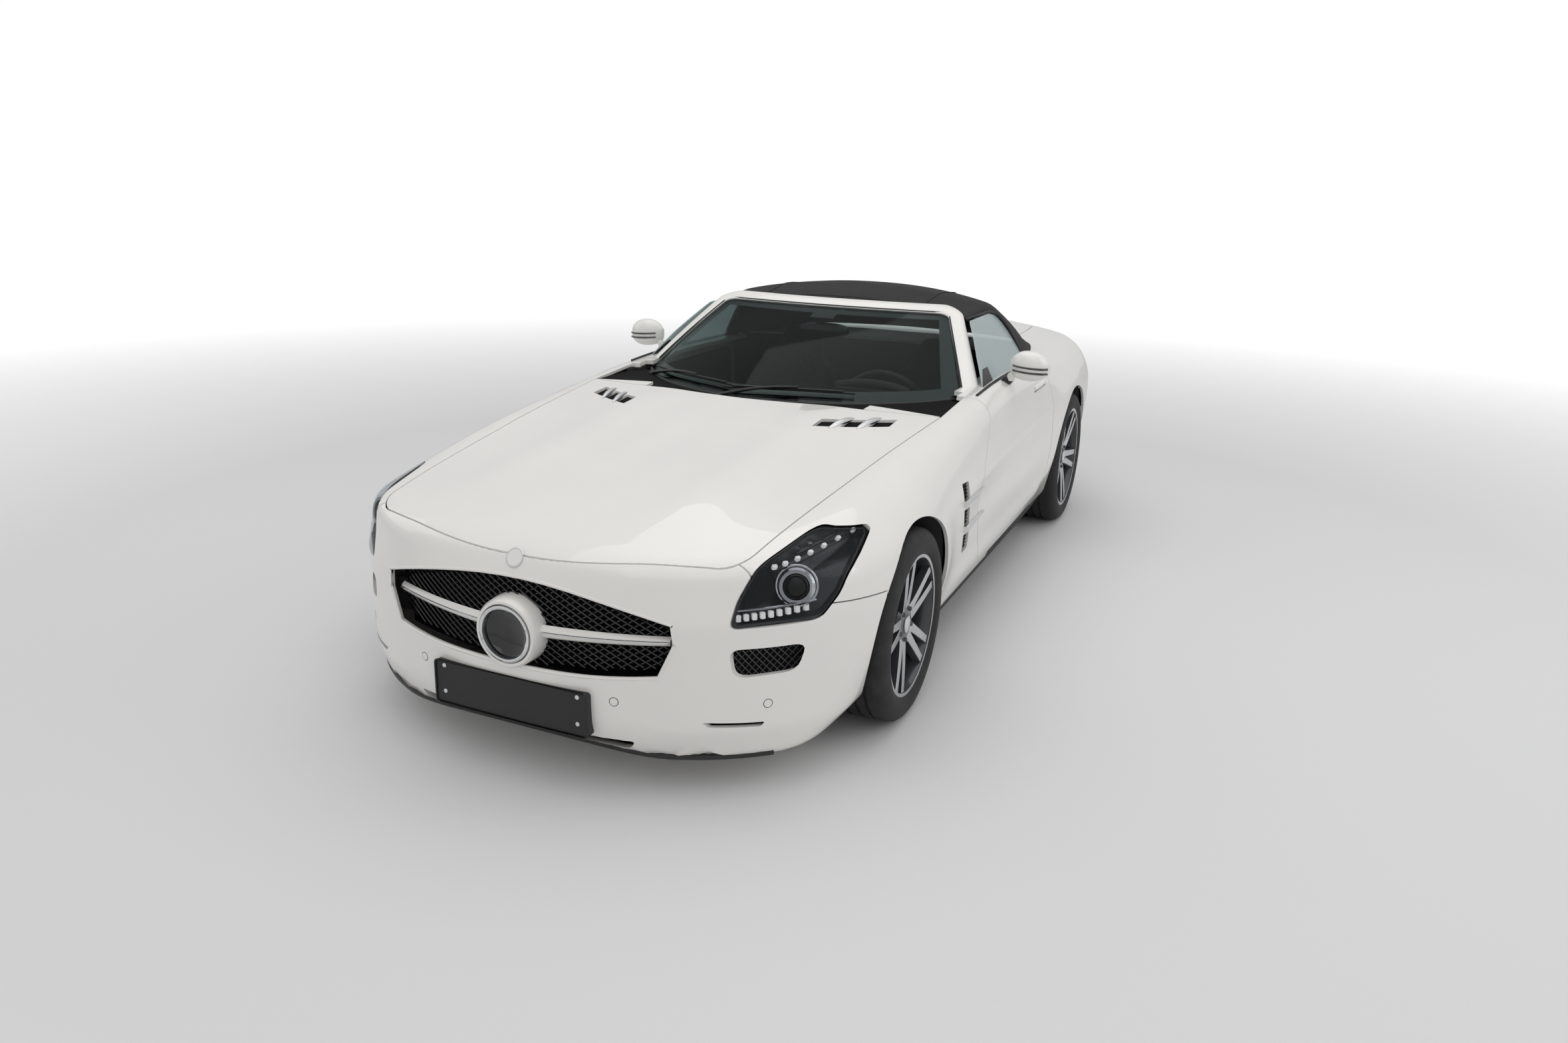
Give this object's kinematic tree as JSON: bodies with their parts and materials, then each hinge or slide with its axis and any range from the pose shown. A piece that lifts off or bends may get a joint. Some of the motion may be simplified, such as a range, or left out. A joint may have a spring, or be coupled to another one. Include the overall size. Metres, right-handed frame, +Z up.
{
  "type": "two-seat convertible roadster",
  "caption": "Low long-bonnet two-seat roadster with fabric top up: opening doors, bonnet and boot lid, steered front wheels, hollow cabin with seats, dashboard and steering wheel.",
  "frame": {"origin": "on the floor below the middle of the car's overall box", "axes": "+Z up, -Y towards the nose, +X to the car's left side"},
  "size_m": [2.074, 4.638, 1.2633],
  "materials": {
    "frame_metal": "satin",
    "cabin_plastic": "grained",
    "brake_disc": "ground",
    "body_paint": "gloss",
    "engine_metal": "cast",
    "exhaust_steel": "brushed",
    "axle_metal": "painted",
    "grille_plastic": "gloss",
    "bar_chrome": "gloss",
    "lamp_clear": "gloss",
    "knuckle_metal": "cast",
    "glass": "gloss",
    "wheel_rim": "machined",
    "seat_leather": "grained",
    "top_fabric": "woven",
    "wheel_leather": "satin",
    "lamp_red": "gloss",
    "tyre": "matte",
    "underbody_metal": "matte"
  },
  "bodies": {
    "body": {"cowl": "frame_metal", "dashboard": "cabin_plastic", "engine": "engine_metal", "exhaust": "exhaust_steel", "fender_left": "body_paint", "fender_right": "body_paint", "firewall": "frame_metal", "front_axle": "axle_metal", "front_bumper": "body_paint", "front_frame": "frame_metal", "grille": "grille_plastic", "grille_bar": "bar_chrome", "headlamp_left": "lamp_clear", "headlamp_right": "lamp_clear", "hinge_pillar_left": "frame_metal", "hinge_pillar_right": "frame_metal", "quarter_left": "body_paint", "quarter_right": "body_paint", "rear_axle": "axle_metal", "rear_bumper": "body_paint", "rear_deck": "body_paint", "rear_frame": "frame_metal", "rear_window": "glass", "seat_left": "seat_leather", "seat_right": "seat_leather", "soft_top": "top_fabric", "tail_lamp_left": "lamp_red", "tail_lamp_right": "lamp_red", "underbody": "underbody_metal", "windshield": "glass", "windshield_frame": "body_paint"},
    "hood": {"hood": "body_paint"},
    "trunk_lid": {"trunk_lid": "body_paint"},
    "door_left": {"door_left": "body_paint", "side_glass_left": "glass", "mirror_left": "body_paint"},
    "door_right": {"door_right": "body_paint", "side_glass_right": "glass", "mirror_right": "body_paint"},
    "knuckle_left": {"knuckle_left": "knuckle_metal"},
    "knuckle_right": {"knuckle_right": "knuckle_metal"},
    "steering_wheel": {"steering_wheel": "wheel_leather"},
    "wheel_front_left": {"tyre_front_left": "tyre", "rim_front_left": "wheel_rim", "disc_front_left": "brake_disc"},
    "wheel_front_right": {"tyre_front_right": "tyre", "rim_front_right": "wheel_rim", "disc_front_right": "brake_disc"},
    "wheel_rear_left": {"tyre_rear_left": "tyre", "rim_rear_left": "wheel_rim", "disc_rear_left": "brake_disc"},
    "wheel_rear_right": {"tyre_rear_right": "tyre", "rim_rear_right": "wheel_rim", "disc_rear_right": "brake_disc"}
  },
  "joints": [
    {"name": "hood", "type": "hinge", "parent": "body", "child": "hood", "pos_m": [0, -0.598, 0.888], "axis": [-1, 0, 0], "range_deg": [0, 50]},
    {"name": "trunk_lid", "type": "hinge", "parent": "body", "child": "trunk_lid", "pos_m": [0, 1.497, 0.946], "axis": [1, 0, 0], "range_deg": [0, 75]},
    {"name": "door_left", "type": "hinge", "parent": "body", "child": "door_left", "pos_m": [0.948, -0.43, 0.55], "axis": [0, 0, -1], "range_deg": [0, 65]},
    {"name": "door_right", "type": "hinge", "parent": "body", "child": "door_right", "pos_m": [-0.948, -0.43, 0.55], "axis": [0, 0, 1], "range_deg": [0, 65]},
    {"name": "steer_left", "type": "hinge", "parent": "body", "child": "knuckle_left", "pos_m": [0.788, -1.334, 0.334], "axis": [0, 0, 1], "range_deg": [-33, 33]},
    {"name": "steer_right", "type": "hinge", "parent": "body", "child": "knuckle_right", "pos_m": [-0.788, -1.334, 0.334], "axis": [0, 0, 1], "range_deg": [-33, 33]},
    {"name": "steering_wheel", "type": "hinge", "parent": "body", "child": "steering_wheel", "pos_m": [0.375, -0.02, 0.79], "axis": [0, 0.9135, 0.4067], "range_deg": [-450, 450]},
    {"name": "wheel_front_left", "type": "hinge", "parent": "knuckle_left", "child": "wheel_front_left", "pos_m": [0.828, -1.334, 0.334], "axis": [1, 0, 0], "continuous": true},
    {"name": "wheel_rear_left", "type": "hinge", "parent": "body", "child": "wheel_rear_left", "pos_m": [0.815, 1.346, 0.3425], "axis": [1, 0, 0], "continuous": true},
    {"name": "wheel_front_right", "type": "hinge", "parent": "knuckle_right", "child": "wheel_front_right", "pos_m": [-0.828, -1.334, 0.334], "axis": [1, 0, 0], "continuous": true},
    {"name": "wheel_rear_right", "type": "hinge", "parent": "body", "child": "wheel_rear_right", "pos_m": [-0.815, 1.346, 0.3425], "axis": [1, 0, 0], "continuous": true}
  ],
  "couplings": [
    {"joint": "steer_right", "follows": "steer_left", "ratio": 1},
    {"joint": "steering_wheel", "follows": "steer_left", "ratio": 13.6}
  ]
}
